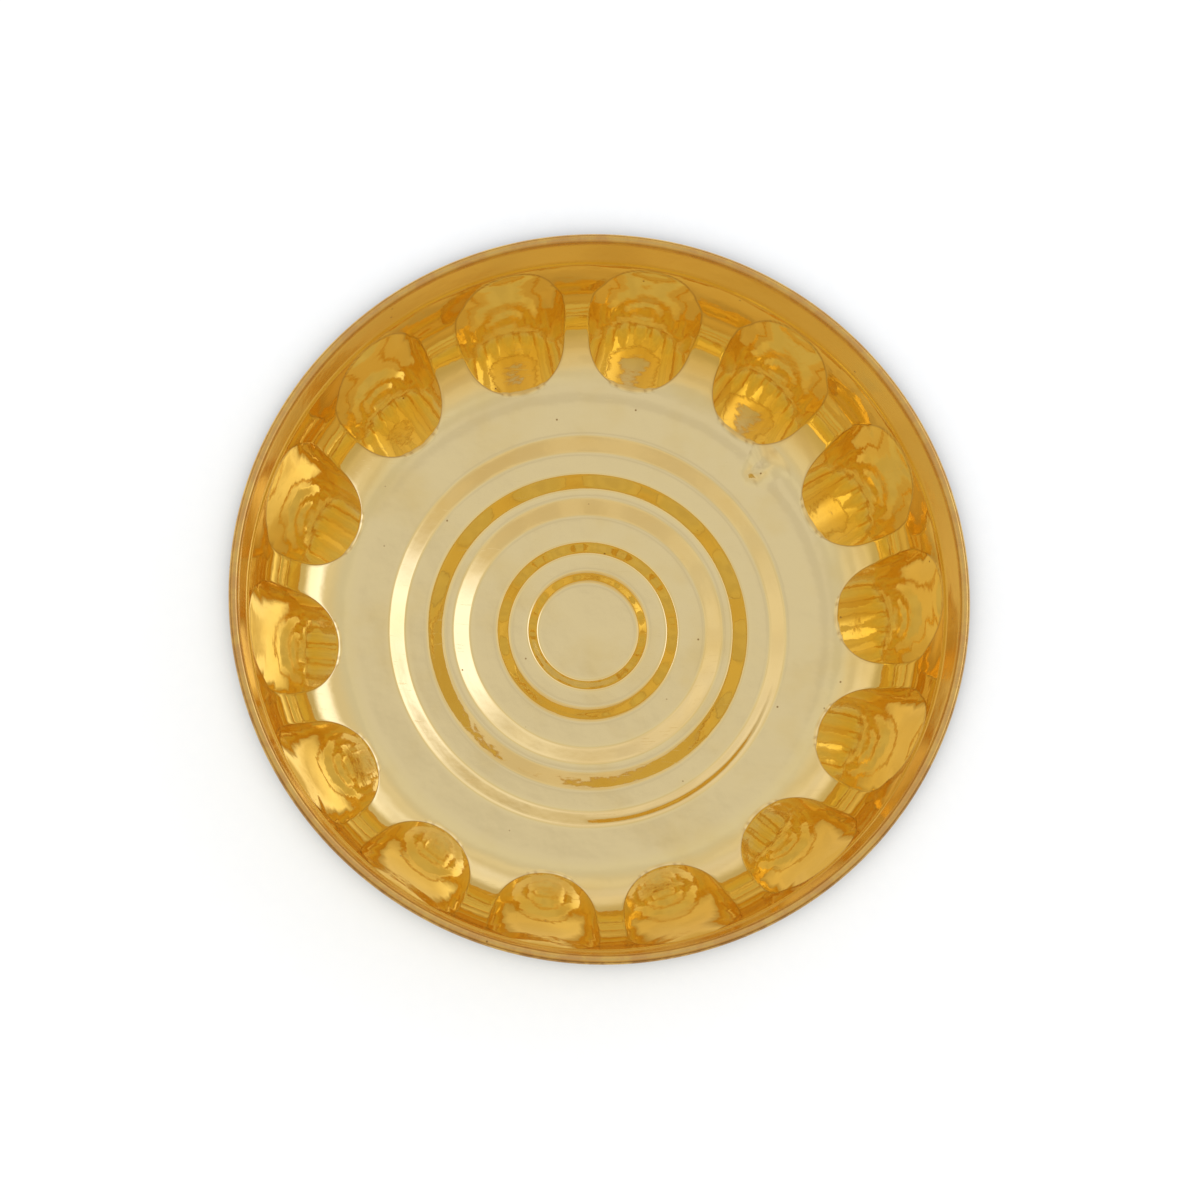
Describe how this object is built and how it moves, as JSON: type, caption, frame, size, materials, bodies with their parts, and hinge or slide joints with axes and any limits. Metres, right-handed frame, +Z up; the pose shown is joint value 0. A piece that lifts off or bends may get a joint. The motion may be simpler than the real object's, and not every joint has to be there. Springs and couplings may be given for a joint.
{
  "type": "offering plate",
  "caption": "Deep round collection dish pressed from polished brass, with stepped rings in the base, rounded bosses round the foot and a rolled bead at the rim.",
  "frame": {"origin": "on the dish axis at the height of the flats it rests on", "axes": "+Z up along the dish axis, out of its mouth; +Y is the far side in the usual view"},
  "size_m": [0.1996, 0.1996, 0.0556],
  "materials": {
    "polished_brass": "highly polished",
    "steel_wire": "plain drawn wire"
  },
  "bodies": {
    "root": {"dish": "polished_brass", "rim_wire": "steel_wire"}
  },
  "joints": []
}
